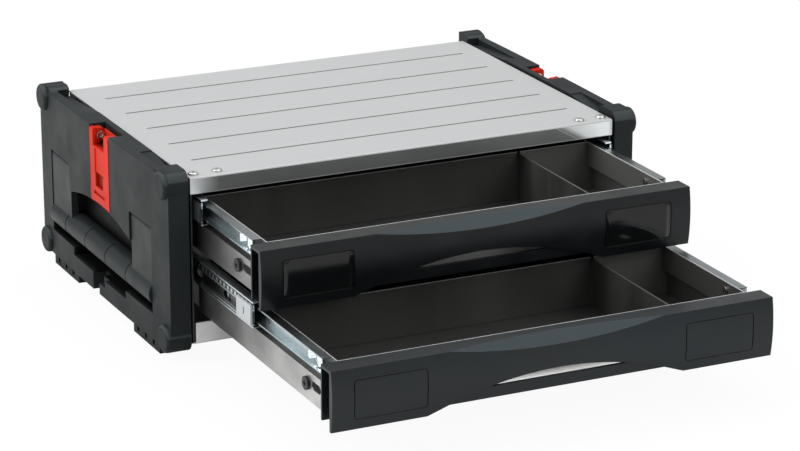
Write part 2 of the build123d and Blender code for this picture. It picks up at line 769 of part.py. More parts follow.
def make_cross_divider(rim_z, opened):
    """Make the full-width divider across the middle of a tray."""
    with BuildPart() as divider:
        with BuildSketch(front_plane(cross_divider_y - opened)):
            with BuildLine():
                tray_section(rim_z, tray_wall + divider_play)
            make_face()
            with Locations((0, rim_z - cross_divider_drop)):
                top_cut = (2 * tray_lower_half_width, cross_divider_drop + 2 * past)
                Rectangle(top_cut[0], top_cut[1], align=(Align.CENTER, Align.MIN), mode=Mode.SUBTRACT)
            with Locations((divider_x, rim_z - divider_notch[1])):
                Rectangle(
                    divider_notch[0], divider_notch[1], align=(Align.CENTER, Align.MIN), mode=Mode.SUBTRACT
                )
        extrude(amount=-divider_thickness)
    return divider


def make_divider(rim_z, opened):
    """Make the short divider, hooked over a notch of the cross divider."""
    with BuildPart() as divider:
        start = front_depth + tray_wall + 2 * divider_play - opened
        end = cross_divider_y - opened
        x = (divider_x - divider_thickness / 2, divider_x + divider_thickness / 2)
        top_z = rim_z - divider_top_drop
        hook_z = [rim_z - drop for drop in divider_hook_drops]
        hook_end = end + divider_hook
        slab(x, (start, end), (rim_z - tray_height + tray_wall, top_z))
        slab(x, (end - past, hook_end), (hook_z[0], top_z))
        slab(x, (hook_end - divider_hook_wall, hook_end), (hook_z[1], hook_z[0]))
    return divider


def make_front(rim_z, opened):
    """Make the hollow moulded drawer front with its finger arch and top scoop."""
    face_y = -opened
    top = rim_z
    bottom = rim_z - front_height
    with BuildPart() as front:
        with BuildSketch(side_plane(-front_half_width)):
            with BuildLine():
                middle_z = (top + bottom) / 2
                Polyline(
                    (face_y, top),
                    (face_y + front_depth, top),
                    (face_y + front_depth, bottom),
                    (face_y, bottom),
                )
                ThreePointArc((face_y, bottom), (face_y - front_bulge, middle_z), (face_y, top))
            make_face()
        extrude(amount=2 * front_half_width)
        # Hollow behind the face plate, open below and at both ends
        wide = (-front_half_width - past, front_half_width + past)
        back_face_y = face_y + front_depth
        hollow_y = (face_y + face_plate, back_face_y - back_plate)
        slab(wide, hollow_y, (bottom - past, top - hollow_drop), Mode.SUBTRACT)
        for side in (-1, 1):
            beside_scoop = (side * (scoop_half_width + scoop_margin), side * (front_half_width + past))
            slab(beside_scoop, hollow_y, (top - hollow_drop - past, top - end_hollow_drop), Mode.SUBTRACT)
        # The back plate ends above the face plate and is open in the middle
        back_y = (back_face_y - back_plate - past, back_face_y + past)
        slab(wide, back_y, (bottom - past, bottom + back_plate_rise), Mode.SUBTRACT)
        middle_x = (-arch_half_width, arch_half_width)
        slab(middle_x, back_y, (bottom - past, top - back_opening_drop), Mode.SUBTRACT)
        # Finger arch with a chamfered foot at each end
        with BuildSketch(front_plane(face_y - far_past)):
            with BuildLine():
                foot_z = bottom + arch_foot_rise
                Polyline(
                    (-arch_half_width, foot_z),
                    (-arch_foot_half_width, bottom),
                    (-arch_foot_half_width, bottom - past),
                    (arch_foot_half_width, bottom - past),
                    (arch_foot_half_width, bottom),
                    (arch_half_width, foot_z),
                )
                ThreePointArc((arch_half_width, foot_z), (0, bottom + arch_rise), (-arch_half_width, foot_z))
            make_face()
        extrude(amount=-(far_past + arch_cut_depth), mode=Mode.SUBTRACT)
        # Stiffening strip across the arch, set behind the face plate
        strip_y = (face_y + strip_depth[0], face_y + strip_depth[1])
        strip_z = (bottom + strip_rise[0], bottom + strip_rise[1])
        slab((-strip_half_width, strip_half_width), strip_y, strip_z)
        # Scoop: a shallow cylinder that slopes down towards the user
        rise = scoop_half_width**2 / (2 * scoop_drop) + scoop_drop / 2
        scoop_start = (0, front_y + face_y + scoop_back, top)
        slope = Plane(scoop_start, x_dir=(1, 0, 0), z_dir=(0, -scoop_back, -scoop_drop))
        with BuildSketch(slope):
            with Locations((0, rise)):
                Circle(rise)
        extrude(amount=2 * front_depth, mode=Mode.SUBTRACT)
        # Grooved outline of the label field at each end of the face
        label_width = label_x[1] - label_x[0]
        label_height = label_drop[1] - label_drop[0]
        for side in (-1, 1):
            with BuildSketch(front_plane(face_y - far_past)):
                with Locations((side * sum(label_x) / 2, top - sum(label_drop) / 2)):
                    RectangleRounded(label_width, label_height, label_corner)
                    inner = (label_width - 2 * label_line, label_height - 2 * label_line)
                    RectangleRounded(inner[0], inner[1], label_corner - label_line, mode=Mode.SUBTRACT)
            extrude(amount=-(far_past - label_depth), mode=Mode.SUBTRACT)
        for x, drop in front_screw_places:
            hole_start = (x, back_face_y - back_plate - past, rim_z - drop)
            rod(small_screw_radius, hole_start, back_face_y + past, "y", Mode.SUBTRACT)
    return front


def make_front_screws(rim_z, opened):
    """Make the screws that hold the front, with their heads inside the tray."""
    with BuildPart() as screws:
        inner_y = front_depth + tray_wall - opened
        for x, drop in front_screw_places:
            tip_y = inner_y - tray_wall - back_plate
            rod(small_screw_radius, (x, tip_y, rim_z - drop), inner_y, "y")
            rod(front_screw_head[0], (x, inner_y, rim_z - drop), inner_y + front_screw_head[1], "y")
    return screws


def make_slide_screws(rim_z, opened):
    """Make the screws that hold the drawer rails, with their heads inside the tray."""
    with BuildPart() as screws:
        for side in (-1, 1):
            inner = side * (tray_upper_half_width - tray_wall)
            for screw_y in slide_screw_y:
                place = (inner, screw_y - opened, rim_z - slide_middle_drop)
                rod(small_screw_radius, place, inner + side * slide_screw_length, "x")
                rod(slide_screw_head[0], place, inner - side * slide_screw_head[1], "x")
    return screws


def make_side_screws(rim_z, opened):
    """Make the large black plastic screws in the tray's lower side walls."""
    with BuildPart() as screws:
        for side in (-1, 1):
            face = side * tray_lower_half_width
            place = (face, side_screw_y - opened, rim_z - side_screw_drop)
            rod(side_screw_radius, place, face - side * (2 * tray_wall + past), "x")
            rod(side_screw_head[0], place, face + side * side_screw_head[1], "x")
            head_x = face + side * side_screw_head[1]
            cross_x = (head_x - side * cross_depth, head_x + side * past)
            long, wide = side_screw_cross
            for along, upright in ((long, wide), (wide, long)):
                cross_y = (place[1] - along / 2, place[1] + along / 2)
                cross_z = (place[2] - upright / 2, place[2] + upright / 2)
                slab(cross_x, cross_y, cross_z, Mode.SUBTRACT)
    return screws


for drawer, rim, opened in (("upper", upper_rim_z, upper_open), ("lower", lower_rim_z, lower_open)):
    save(make_tray(rim, opened), drawer + "_tray")
    save(make_cross_divider(rim, opened), drawer + "_cross_divider")
    save(make_divider(rim, opened), drawer + "_divider")
    save(make_front(rim, opened), drawer + "_front")
    save(make_front_screws(rim, opened), drawer + "_front_screws")
    save(make_slide_screws(rim, opened), drawer + "_slide_screws")
    save(make_side_screws(rim, opened), drawer + "_side_screws")
    make_slide(drawer, "left", -1, rim, opened)
    make_slide(drawer, "right", 1, rim, opened)
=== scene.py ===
import bpy
import bmesh
import math
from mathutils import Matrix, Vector


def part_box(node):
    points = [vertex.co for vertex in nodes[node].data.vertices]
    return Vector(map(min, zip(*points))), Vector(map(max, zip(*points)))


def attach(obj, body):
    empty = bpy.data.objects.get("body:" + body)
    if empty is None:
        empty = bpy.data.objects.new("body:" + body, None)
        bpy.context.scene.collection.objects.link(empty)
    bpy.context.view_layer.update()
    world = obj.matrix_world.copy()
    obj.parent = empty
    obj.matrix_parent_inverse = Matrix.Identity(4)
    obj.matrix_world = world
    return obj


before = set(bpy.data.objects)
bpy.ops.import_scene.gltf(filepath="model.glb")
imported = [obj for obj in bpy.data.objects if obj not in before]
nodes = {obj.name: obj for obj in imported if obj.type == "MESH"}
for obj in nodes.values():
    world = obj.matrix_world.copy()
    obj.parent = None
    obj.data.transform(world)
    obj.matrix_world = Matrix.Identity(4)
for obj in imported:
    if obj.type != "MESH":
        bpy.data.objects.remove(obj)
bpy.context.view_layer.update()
MM = 0.001

# The label fields of the drawer fronts, and the blank inserts that lie in the upper ones
label_x = 144 * MM
label_drop = 25.5 * MM
label_corner = 3 * MM
field_half_width, field_half_height = 31 * MM, 16 * MM
insert_half_width, insert_half_height = 30 * MM, 15.2 * MM
insert_proud = 0.15 * MM
insert_thickness = 0.6 * MM
front_bulge = 2.5 * MM

# Where painted shade darkens the handle recess of an end panel and the hollows of a latch
recess_fade_x = (213 * MM, 217 * MM)
recess_y = (18 * MM, 264 * MM)
recess_z = (25 * MM, 109 * MM)
latch_fade_x = (215.6 * MM, 217.4 * MM)
latch_head_z = (140 * MM, 150 * MM)
latch_head_shade = 0.25

# The tray: its sheet, and the step between its narrow upper and wide lower part
tray_wall = 1.0 * MM
tray_step_drop = 20.3 * MM
tray_step_in = 6.4 * MM

# Depths of the surface relief
plastic_relief = 0.15 * MM
sheet_relief = 0.1 * MM

# ---------------------------------------------------------------- materials


def build(kind_name):
    """Make an empty material and give back its tree and its shader."""
    made = bpy.data.materials.new(kind_name)
    made.use_nodes = True
    return made, made.node_tree, made.node_tree.nodes["Principled BSDF"]


def put(tree, socket, value):
    """Link a socket to another one, or set it to a number or a colour."""
    if isinstance(value, bpy.types.NodeSocket):
        tree.links.new(value, socket)
    else:
        socket.default_value = value


def node(tree, kind, settings=None, **inputs):
    """Add a shader node; its inputs go by name, or by place as i0, i1 and so on."""
    made = tree.nodes.new(kind)
    for name, value in (settings or {}).items():
        setattr(made, name, value)
    for name, value in inputs.items():
        by_place = name[0] == "i" and name[1:].isdigit()
        put(tree, made.inputs[int(name[1:]) if by_place else name], value)
    return made


def dress(tree, shader, colour, rough, metal):
    """Give a shader its colour, its roughness and its share of metal."""
    for name, value in (("Base Color", colour), ("Roughness", rough), ("Metallic", metal)):
        put(tree, shader.inputs[name], value)


def grey(level, tint=(1.0, 1.0, 1.0)):
    """A linear colour at this level with a tint."""
    return (level * tint[0], level * tint[1], level * tint[2], 1.0)


def place(tree, stretch=(1, 1, 1)):
    """The point of the object itself, in metres, stretched along its axes."""
    point = node(tree, "ShaderNodeTexCoord").outputs["Object"]
    return node(tree, "ShaderNodeMapping", Vector=point, Scale=stretch).outputs[0]


def spot(tree):
    """The three coordinates of the object's own point, in metres."""
    return node(tree, "ShaderNodeSeparateXYZ", Vector=place(tree)).outputs


def height_share(tree):
    """How far up the object's own box a point lies, from nothing to one."""
    box_point = node(tree, "ShaderNodeTexCoord").outputs["Generated"]
    return node(tree, "ShaderNodeSeparateXYZ", Vector=box_point).outputs[2]


def noise(tree, scale, stretch=(1, 1, 1), detail=3.0):
    """Noise of this many features a metre."""
    point = place(tree, stretch)
    return node(tree, "ShaderNodeTexNoise", Vector=point, Scale=scale, Detail=detail).outputs[0]


def ramp(tree, factor, low, high, start, end):
    """Map a factor between two limits on to a range of numbers."""
    mapped = node(tree, "ShaderNodeMapRange", Value=factor)
    for name, value in (("From Min", low), ("From Max", high), ("To Min", start), ("To Max", end)):
        mapped.inputs[name].default_value = value
    return mapped.outputs[0]


def mottle(tree, scale, start=0.0, end=1.0, stretch=(1, 1, 1), detail=3.0, span=(0.3, 0.7)):
    """Noise spread over a range of numbers; span is the part of the noise that is used."""
    return ramp(tree, noise(tree, scale, stretch, detail), span[0], span[1], start, end)


def maths(tree, kind, first, second=0.0):
    """One step of arithmetic on sockets or numbers."""
    return node(tree, "ShaderNodeMath", {"operation": kind}, i0=first, i1=second).outputs[0]


def product(tree, first, *others):
    """Several masks multiplied together."""
    for other in others:
        first = maths(tree, "MULTIPLY", first, other)
    return first


def within(tree, value, low, high, soft=0.5 * MM):
    """One between two limits, fading to nothing over a short way outside them."""
    rising = ramp(tree, value, low - soft, low, 0.0, 1.0)
    falling = ramp(tree, value, high, high + soft, 1.0, 0.0)
    return product(tree, rising, falling)


def blend_colour(tree, factor, first, second):
    """Mix two colours by a factor."""
    return node(tree, "ShaderNodeMix", {"data_type": "RGBA"}, i0=factor, i6=first, i7=second).outputs[2]


def blend_number(tree, factor, first, second):
    """Mix two numbers by a factor."""
    return node(tree, "ShaderNodeMix", i0=factor, i2=first, i3=second).outputs[0]


def shaded(tree, level, colour):
    """A colour darkened to this share of itself."""
    return blend_colour(tree, level, grey(0.0), colour)


def scaled(colour, share):
    """A colour with every channel multiplied, and none above one."""
    return tuple(min(1.0, value * share) for value in colour[:3]) + (1.0,)


def finish_normal(tree, shader, height, strength, depth, edge):
    """Put a relief on a surface whose edges are softly rounded."""
    soft = node(tree, "ShaderNodeBevel", {"samples": 4}, Radius=edge)
    bump = node(tree, "ShaderNodeBump", Height=height, Strength=strength, Distance=depth)
    tree.links.new(soft.outputs[0], bump.inputs["Normal"])
    tree.links.new(bump.outputs[0], shader.inputs["Normal"])


def rolled_relief(tree, shader, stretch=(1, 1, 1), grain=900.0, strength=0.05, edge=0.3 * MM, detail=2.0):
    """The fine relief of rolled sheet, stretched along its rolling direction."""
    finish_normal(tree, shader, noise(tree, grain, stretch, detail), strength, sheet_relief, edge)


def leaning_back(tree):
    """One on the faces that lean back to the sky, and nothing on upright and level ones."""
    least, most, soft = 0.3, 0.85, 0.12
    normal = node(tree, "ShaderNodeNewGeometry").outputs["Normal"]
    up = node(tree, "ShaderNodeSeparateXYZ", Vector=normal).outputs[2]
    return within(tree, up, least, most, soft)


def moulded_plastic(
    name, colour, rough, grain=1400.0, strength=0.18, edge=0.8 * MM, shine=0.3, shade=None, lit=None
):
    """Grained moulded plastic with faint rubbed patches.

    shade gives a mask of painted shade and the colour under it, and lit the colour of painted light on the
    faces that lean back to the sky.
    """
    made, tree, shader = build(name)
    rubbed, patch_scale, smear_scale = 1.35, 9.0, 35.0
    patches = mottle(tree, patch_scale, span=(0.35, 0.7))
    coloured = blend_colour(tree, patches, colour, scaled(colour, rubbed))
    # Painted light: faces that lean back to the sky take the lit colour
    if lit:
        coloured = blend_colour(tree, leaning_back(tree), coloured, lit)
    # Painted shade: under the mask the plastic takes the darker colour
    if shade:
        mask, under = shade
        coloured = blend_colour(tree, mask(tree), coloured, under)
    smeared = mottle(tree, smear_scale, rough - 0.05, rough + 0.08)
    dress(tree, shader, coloured, smeared, 0.0)
    shader.inputs["Specular IOR Level"].default_value = shine
    finish_normal(tree, shader, noise(tree, grain, detail=2.0), strength, plastic_relief, edge)
    return made


def recess_painted_shade_mask(tree):
    """One deep inside the handle recess of an end panel, where painted shade darkens it."""
    point = spot(tree)
    deep = ramp(tree, maths(tree, "ABSOLUTE", point[0]), *recess_fade_x, 1.0, 0.0)
    return product(tree, deep, within(tree, point[1], *recess_y), within(tree, point[2], *recess_z))


def latch_painted_shade_mask(tree):
    """Painted shade: one inside the hollows of a latch, and less at its head."""
    point = spot(tree)
    deep = ramp(tree, maths(tree, "ABSOLUTE", point[0]), *latch_fade_x, 1.0, 0.0)
    return product(tree, deep, ramp(tree, point[2], *latch_head_z, 1.0, latch_head_shade))


def label_mask(front, width):
    """The shadow line of this width around the two label fields of a drawer front."""
    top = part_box(front)[1].z
    soft = 0.3 * MM

    def beyond(tree, value, centre, half):
        """How far a coordinate lies past the straight part of the field's side."""
        away = maths(tree, "ABSOLUTE", maths(tree, "SUBTRACT", value, centre))
        return maths(tree, "SUBTRACT", away, half - label_corner)

    def mask(tree):
        """The distance to the rounded outline, turned into a line."""
        point = spot(tree)
        sideways = maths(tree, "ABSOLUTE", point[0])
        across = beyond(tree, sideways, label_x, field_half_width)
        rise = beyond(tree, point[2], top - label_drop, field_half_height)
        flat = maths(tree, "MINIMUM", maths(tree, "MAXIMUM", across, rise), 0.0)
        across = maths(tree, "MAXIMUM", across, 0.0)
        rise = maths(tree, "MAXIMUM", rise, 0.0)
        square = maths(tree, "ADD", product(tree, across, across), product(tree, rise, rise))
        away = maths(tree, "ADD", maths(tree, "SQRT", square), flat)
        away = maths(tree, "ABSOLUTE", maths(tree, "SUBTRACT", away, label_corner))
        return ramp(tree, away, width, width + soft, 1.0, 0.0)

    return mask


def sheet_metal(name, colour, rough, stretch=(1, 1, 1), streak=60.0, contrast=0.12):
    """Rolled or plated sheet with streaks along its rolling direction."""
    made, tree, shader = build(name)
    streaks = mottle(tree, streak, stretch=stretch, detail=5.0)
    streaked = blend_colour(tree, streaks, scaled(colour, 1 - contrast), colour)
    dress(tree, shader, streaked, ramp(tree, streaks, 0, 1, rough, rough + 0.1), 1.0)
    rolled_relief(tree, shader, stretch, edge=0.4 * MM)
    return made


def rail_metal(name, web, lips, rough, contrast=0.3):
    """Plated rail: a web of one colour between two rolled lips, streaked along its length."""
    made, tree, shader = build(name)
    lip_share, lip_soft, dulled = 0.07, 0.02, 0.8
    streaks = mottle(tree, 320.0, 1.0 - contrast, 1.0, (1, 0.06, 1), 5.0)
    patches = mottle(tree, 40.0, stretch=(1, 0.5, 1), span=(0.4, 0.65))
    plate = blend_colour(tree, patches, web, scaled(web, dulled))
    # The lips take their own colour; on the cabinet rail it is a painted highlight
    on_web = within(tree, height_share(tree), lip_share, 1 - lip_share, lip_soft)
    plate = shaded(tree, streaks, blend_colour(tree, on_web, lips, plate))
    dress(tree, shader, plate, ramp(tree, patches, 0, 1, rough, rough + 0.1), 1.0)
    rolled_relief(tree, shader, (1, 0.1, 1))
    return made


def teeth(tree, pitch):
    """One on the teeth of a ball cage and nothing in the windows between them."""
    first, last, soft = 0.12, 0.5, 0.08
    turn = maths(tree, "FRACT", maths(tree, "DIVIDE", spot(tree)[1], pitch))
    return within(tree, turn, first, last, soft)


def middle_rail_metal(name):
    """Web darkened with painted shade, with a row of cage teeth near its top and painted highlights as
    bright lines along the rolled edges above and below it.
    """
    made, tree, shader = build(name)
    up = height_share(tree)
    tooth_row, tooth_pitch, tooth_colour = (0.76, 0.88, 0.02), 7.6 * MM, (0.7, 0.8, 0.84, 1.0)
    # Where each painted highlight line starts and ends up the rail, and how bright it is
    painted_highlight_lines = ((0.0, 0.05, 0.8), (0.12, 0.16, 0.7), (0.24, 0.26, 0.35), (0.68, 0.71, 0.7), (0.95, 1.0, 0.8))
    line_soft, line_tint = 0.015, (0.92, 1.0, 1.04)
    patches = mottle(tree, 60.0, stretch=(1, 0.3, 1), span=(0.4, 0.6))
    # Painted shade: the dark web
    plate = blend_colour(tree, patches, grey(0.02), grey(0.1))
    row = product(tree, within(tree, up, *tooth_row), teeth(tree, tooth_pitch))
    plate = blend_colour(tree, row, plate, tooth_colour)
    for low, high, level in painted_highlight_lines:
        plate = blend_colour(tree, within(tree, up, low, high, line_soft), plate, grey(level, line_tint))
    dress(tree, shader, plate, 0.26, 1.0)
    rolled_relief(tree, shader, (1, 0.1, 1))
    return made


def cage_metal(name):
    """Ball cage: bright teeth along its length, with painted shade in the ball windows between them."""
    made, tree, shader = build(name)
    tooth_pitch, tooth_colour = 8.0 * MM, (0.5, 0.56, 0.58, 1.0)
    steel = blend_colour(tree, teeth(tree, tooth_pitch), grey(0.03), tooth_colour)
    worn = mottle(tree, 200.0, 0.75, 1.0)
    dress(tree, shader, blend_colour(tree, worn, grey(0.02), steel), 0.3, 1.0)
    rolled_relief(tree, shader, strength=0.06, detail=3.0)
    return made


dark_tint = (1.0, 1.0, 0.96)
dark_low = grey(0.042, dark_tint)


def divider_metal(name, streak, high, edge, corner=None):
    """Dark sheet with soft upright streaks of painted sheen and a painted highlight along its top edge.

    corner names the short divider; to the right of it painted light makes the sheet paler.
    """
    made, tree, shader = build(name)
    edge_share = 0.012
    streaks = mottle(tree, streak, stretch=(1, 1, 0.15), detail=4.0, span=(0.35, 0.7))
    # Upright streaks of painted sheen
    dark = blend_colour(tree, streaks, dark_low, grey(high, dark_tint))
    if corner:
        # Painted light lifts the sheet to the right of the short divider
        beside = maths(tree, "GREATER_THAN", spot(tree)[0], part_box(corner)[1].x)
        dark = blend_colour(tree, beside, dark, grey(0.12, dark_tint))
    # Painted highlight along the top edge
    painted_highlight_edge = maths(tree, "GREATER_THAN", height_share(tree), 1 - edge_share)
    lit = blend_colour(tree, painted_highlight_edge, dark, grey(edge, dark_tint))
    dress(tree, shader, lit, ramp(tree, streaks, 0, 1, 0.32, 0.42), 0.35)
    rolled_relief(tree, shader, (1, 1, 0.3), grain=700.0, strength=0.04)
    return made


def lip_colour_and_reflections(tree, point, low, high):
    """The front lip of the top sheet: dull between painted reflections at its left corner and its slanting
    right end, with a painted glint and a painted highlight along its lower rim.
    """
    slant_reach, painted_highlight_level, last_dimmed = 24 * MM, 0.84, 0.35
    edge = high.x - slant_reach
    rise = ramp(tree, point[2], low.z, high.z, 0.0, 1.0)
    slant = maths(tree, "ADD", point[0], product(tree, rise, slant_reach))
    # Painted reflections at both ends of the lip
    left_end_reflection = ramp(tree, point[0], low.x + 2 * MM, low.x + 26 * MM, 1.0, 0.0)
    right_end_reflection = ramp(tree, slant, edge - 7 * MM, edge + 3 * MM, 0.0, 1.0)
    last = ramp(tree, point[0], high.x - 3 * MM, high.x - 2 * MM, 0.0, last_dimmed)
    painted_bright_ends = maths(tree, "MAXIMUM", left_end_reflection, maths(tree, "SUBTRACT", right_end_reflection, last))
    dull = mottle(tree, 12.0, 0.2, 0.26, (1, 1, 3), span=(0.35, 0.65))
    lip = shaded(tree, blend_number(tree, painted_bright_ends, dull, painted_highlight_level), grey(1.0, (0.97, 1.0, 1.0)))
    # A painted glint along the slant
    shine = within(tree, slant, edge - 9 * MM, edge - 8 * MM, 0.6 * MM)
    lip = blend_colour(tree, shine, lip, grey(0.5))
    # Painted highlight along the lower rim
    rim_painted_highlight = ramp(tree, point[2], low.z + 0.4 * MM, low.z + 1.0 * MM, 1.0, 0.0)
    return blend_colour(tree, rim_painted_highlight, lip, grey(0.6))


def top_sheet_metal(name):
    """Satin top with pressed grooves darkened by painted shade, and a front lip of its own colour with
    painted reflections.
    """
    made, tree, shader = build(name)
    low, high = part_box("top_sheet")
    point = spot(tree)
    speck = mottle(tree, 900.0, 0.94, 1.0, detail=1.0)
    cloud = mottle(tree, 5.0, 0.97, 1.0)
    top = shaded(tree, product(tree, speck, cloud), grey(0.485, (0.99, 1.0, 1.01)))
    # Painted shade in the pressed grooves
    sunk = ramp(tree, point[2], high.z - 0.9 * MM, high.z - 0.2 * MM, 1.0, 0.0)
    on_top = maths(tree, "GREATER_THAN", point[2], high.z - 1.2 * MM)
    behind = maths(tree, "GREATER_THAN", point[1], low.y + 4 * MM)
    top = blend_colour(tree, product(tree, sunk, on_top, behind), top, grey(0.09))
    on_lip = maths(tree, "LESS_THAN", point[2], high.z - 1.4 * MM)
    coloured = blend_colour(tree, on_lip, top, lip_colour_and_reflections(tree, point, low, high))
    rough = mottle(tree, 30.0, 0.46, 0.54, (1, 6, 1))
    dress(tree, shader, coloured, rough, ramp(tree, on_lip, 0, 1, 0.35, 0.85))
    rolled_relief(tree, shader, edge=0.4 * MM)
    return made


def inside_tray(tree, point, low, high):
    """One inside a tray, which is narrower above the step in its sides."""
    skin = tray_wall * 0.9
    half_sheet = tray_wall * 0.5
    above = maths(tree, "GREATER_THAN", point[2], high.z - tray_step_drop - half_sheet)
    half_width = ramp(tree, above, 0, 1, high.x - skin, high.x - tray_step_in - skin)
    within_x = maths(tree, "LESS_THAN", maths(tree, "ABSOLUTE", point[0]), half_width)
    centre_y, half_depth = (low.y + high.y) / 2, (high.y - low.y) / 2 - skin
    depth = maths(tree, "ABSOLUTE", maths(tree, "SUBTRACT", point[1], centre_y))
    within_y = maths(tree, "LESS_THAN", depth, half_depth)
    within_z = maths(tree, "GREATER_THAN", point[2], low.z + half_sheet)
    return product(tree, within_x, within_y, within_z)


def tray_metal(name, drawer, front_level, back_painted_shade_level, right_painted_light_level):
    """Sheet that is bright outside and dark inside the tray, with upright streaks of painted sheen inside;
    painted shade dulls the outside towards the back, painted light keeps the front wall full and lifts the
    right compartment, and the rim has a painted highlight.
    """
    made, tree, shader = build(name)
    low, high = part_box(drawer + "_tray")
    point = spot(tree)
    inside = inside_tray(tree, point, low, high)
    # Painted shade: the outside darkens towards the back
    painted_shade_fade = ramp(tree, point[1], low.y + 20 * MM, low.y + 190 * MM, front_level, back_painted_shade_level)
    cloud = mottle(tree, 26.0, 0.68, 1.0, (1, 1, 1.4), 4.0, (0.35, 0.65))
    # Painted light: the front wall stays at full brightness
    front_wall = maths(tree, "LESS_THAN", point[1], low.y + tray_wall * 1.5)
    painted_shade_fade = maths(tree, "MAXIMUM", product(tree, painted_shade_fade, cloud), front_wall)
    outside = shaded(tree, painted_shade_fade, grey(1.0, (1.0, 1.0, 0.99)))
    # Upright streaks of painted sheen on the dark inside
    streaks = mottle(tree, 14.0, stretch=(1, 1, 0.25), detail=4.0)
    dark = blend_colour(tree, streaks, dark_low, grey(0.058, dark_tint))
    # Painted light lifts the inside to the right of the short divider
    right = maths(tree, "GREATER_THAN", point[0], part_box(drawer + "_divider")[1].x)
    dark = blend_colour(tree, right, dark, grey(right_painted_light_level, dark_tint))
    coloured = blend_colour(tree, inside, outside, dark)
    # Painted highlight along the rim
    rim_painted_highlight = maths(tree, "GREATER_THAN", point[2], high.z - 0.5 * MM)
    coloured = blend_colour(tree, rim_painted_highlight, coloured, grey(0.62))
    rough = ramp(tree, streaks, 0, 1, 0.32, 0.42)
    dress(tree, shader, coloured, rough, ramp(tree, inside, 0, 1, 0.95, 0.35))
    rolled_relief(tree, shader, (1, 1, 0.3), grain=700.0, strength=0.04)
    return made


plastic_tint = (0.82, 1.0, 1.02)
front_tint = (0.6, 1.0, 1.25)
near_black = grey(0.002)
# Painted light on the faces of the panels and drawer fronts that lean back to the sky
panel_facet_painted_light = (0.042, 0.05, 0.051, 1.0)
front_scoop_painted_light = (0.03, 0.042, 0.049, 1.0)
latch_red = (0.5, 0.017, 0.004, 1.0)
# Painted shade in the hollows of the latch
latch_painted_shade_red = (0.17, 0.004, 0.001, 1.0)
bright_zinc = (0.86, 0.97, 1.0, 1.0)
zinc_lip = (0.3, 0.33, 0.34, 1.0)
# Painted shade on the cabinet rail's web and a painted highlight on its lips
painted_shade_web = (0.05, 0.06, 0.065, 1.0)
painted_highlight_lip = (0.4, 0.46, 0.48, 1.0)
catch_zinc = (0.9, 0.97, 1.0, 1.0)

panel_plastic = moulded_plastic(
    "panel_plastic",
    grey(0.016, plastic_tint),
    rough=0.5,
    shine=0.12,
    shade=(recess_painted_shade_mask, near_black),
    lit=panel_facet_painted_light,
)
handle_plastic = moulded_plastic("handle_plastic", grey(0.018, plastic_tint), rough=0.44, shine=0.16)
latch_plastic = moulded_plastic(
    "latch_plastic",
    latch_red,
    rough=0.45,
    grain=900.0,
    strength=0.05,
    shine=0.07,
    shade=(latch_painted_shade_mask, latch_painted_shade_red),
)
black_screw = moulded_plastic("black_screw", grey(0.012), rough=0.35, strength=0.08, edge=0.4 * MM)
pale_stop = moulded_plastic(
    "stop_plastic", grey(0.4, (0.95, 1, 1.02)), rough=0.4, strength=0.05, edge=0.4 * MM
)
# Painted shade: the upper drawer's end stops are a darker copy of the stop plastic
painted_shade_stop = moulded_plastic(
    "painted_shade_stop", grey(0.03, (0.9, 1, 1.05)), rough=0.35, strength=0.05, edge=0.4 * MM
)
label_gloss = moulded_plastic(
    "label_gloss",
    grey(0.004, (0.9, 1.0, 1.1)),
    rough=0.12,
    grain=60.0,
    strength=0.02,
    edge=0.1 * MM,
)


def front_plastic(front, level, line_width):
    """The plastic of one drawer front, with the shadow line around its label fields."""
    return moulded_plastic(
        front + "_plastic",
        grey(level, front_tint),
        rough=0.34,
        grain=1800.0,
        strength=0.1,
        edge=0.4 * MM,
        shade=(label_mask(front, line_width), near_black),
        lit=front_scoop_painted_light,
    )


top_steel = top_sheet_metal("top_steel")
# Painted shade: the side and back sheets inside the cabinet are made dark
painted_shade_lining_steel = sheet_metal("painted_shade_lining_steel", grey(0.07), 0.35, (1, 4, 1), streak=40.0, contrast=0.2)
cabinet_steel = sheet_metal("cabinet_steel", grey(0.98), 0.3, (1, 8, 1), streak=40.0, contrast=0.15)
ball_steel = sheet_metal("ball_steel", grey(0.8), 0.08)
screw_steel = sheet_metal("screw_steel", grey(0.66), 0.22, streak=400.0, contrast=0.25)
catch_steel = sheet_metal("catch_steel", catch_zinc, 0.2, (1, 0.3, 1), streak=200.0, contrast=0.3)
drawer_rail_steel = rail_metal("drawer_rail_steel", bright_zinc, zinc_lip, 0.24, contrast=0.2)
middle_rail_steel = middle_rail_metal("middle_rail_steel")
# Cabinet rail: painted shade on its web, painted highlights on its lips
cabinet_rail_steel = rail_metal("cabinet_rail_steel", painted_shade_web, painted_highlight_lip, 0.3)
cage_steel = cage_metal("cage_steel")
divider_steel = divider_metal("divider_steel", streak=45.0, high=0.09, edge=0.1)
cross_steel = divider_metal("cross_steel", streak=14.0, high=0.062, edge=0.3, corner="lower_divider")

